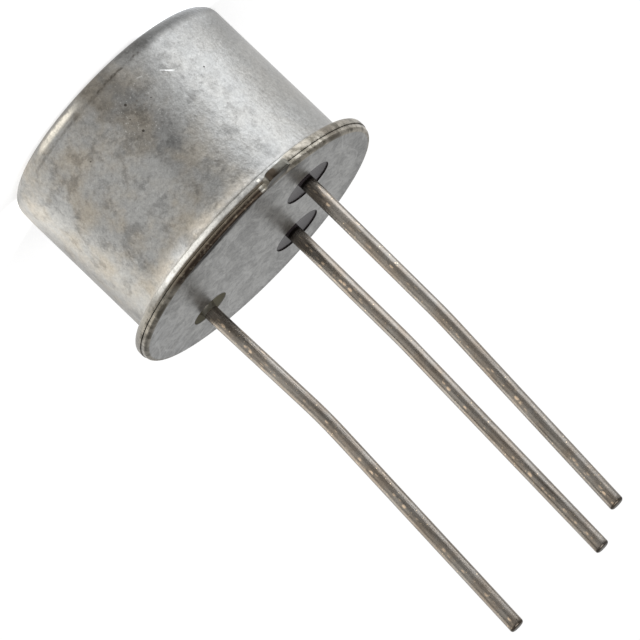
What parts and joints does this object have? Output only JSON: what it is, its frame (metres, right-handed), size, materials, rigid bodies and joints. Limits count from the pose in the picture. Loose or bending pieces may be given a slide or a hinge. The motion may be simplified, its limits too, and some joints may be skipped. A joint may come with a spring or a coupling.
{
  "type": "npn transistor",
  "caption": "Round metal-can NPN transistor: drawn cap welded to a tabbed header, long wire leads in glass seals, chip inside.",
  "frame": {"origin": "centre of the can's flat top, on which the part stands upside down", "axes": "+Z along the can's axis, from its top through the header towards the lead tips; +X from the axis to the emitter lead, so the base lead is on -Y, the collector lead on -X and the index tab at 43 degrees between +X and +Y"},
  "size_m": [0.0092, 0.0092, 0.0192],
  "materials": {
    "can_metal": "tarnished satin nickel plate",
    "header_metal": "satin plate with fine scratches",
    "lead_metal": "tinned wire, darkened",
    "seal_glass": "dark fused glass",
    "braze": "smooth braze filler",
    "silicon": "polished silicon chip",
    "die_solder": "gold-tin preform",
    "bond_metal": "drawn aluminium wire"
  },
  "bodies": {
    "root": {"can": "can_metal", "header": "header_metal", "emitter_glass_seal": "seal_glass", "base_glass_seal": "seal_glass", "emitter_lead": "lead_metal", "base_lead": "lead_metal", "collector_lead": "lead_metal", "collector_braze": "braze", "die_attach": "die_solder", "die": "silicon", "emitter_bond_wire": "bond_metal", "base_bond_wire": "bond_metal"}
  },
  "joints": []
}
